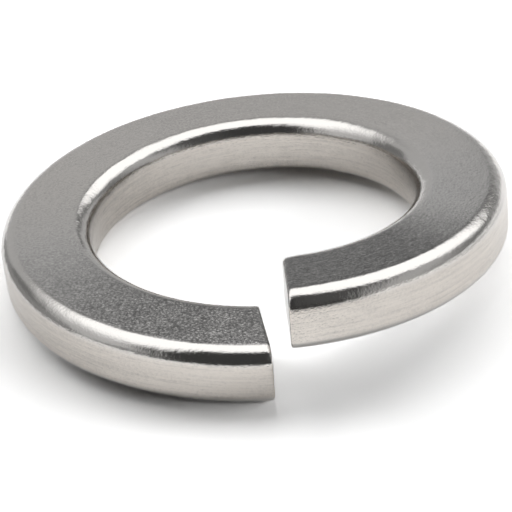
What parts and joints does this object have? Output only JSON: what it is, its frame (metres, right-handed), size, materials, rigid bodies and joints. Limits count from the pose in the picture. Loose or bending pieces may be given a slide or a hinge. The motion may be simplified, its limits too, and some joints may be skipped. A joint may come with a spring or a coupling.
{
  "type": "spring lock washer",
  "caption": "Split spring lock washer: one left-hand turn of rounded rectangular steel strip, which keeps a bolt or nut under tension.",
  "frame": {"origin": "on the bore axis, level with the washer's lowest edge", "axes": "+Z along the bore axis, towards the bolt's head; the gap is at the front, on -Y, with the low end to its left and the high end to its right"},
  "size_m": [0.035, 0.0349, 0.0077],
  "materials": {
    "steel": "bare hardened spring steel, satin with a fine grain, brighter on the drawn round edges"
  },
  "bodies": {
    "root": {"washer": "steel"}
  },
  "joints": []
}
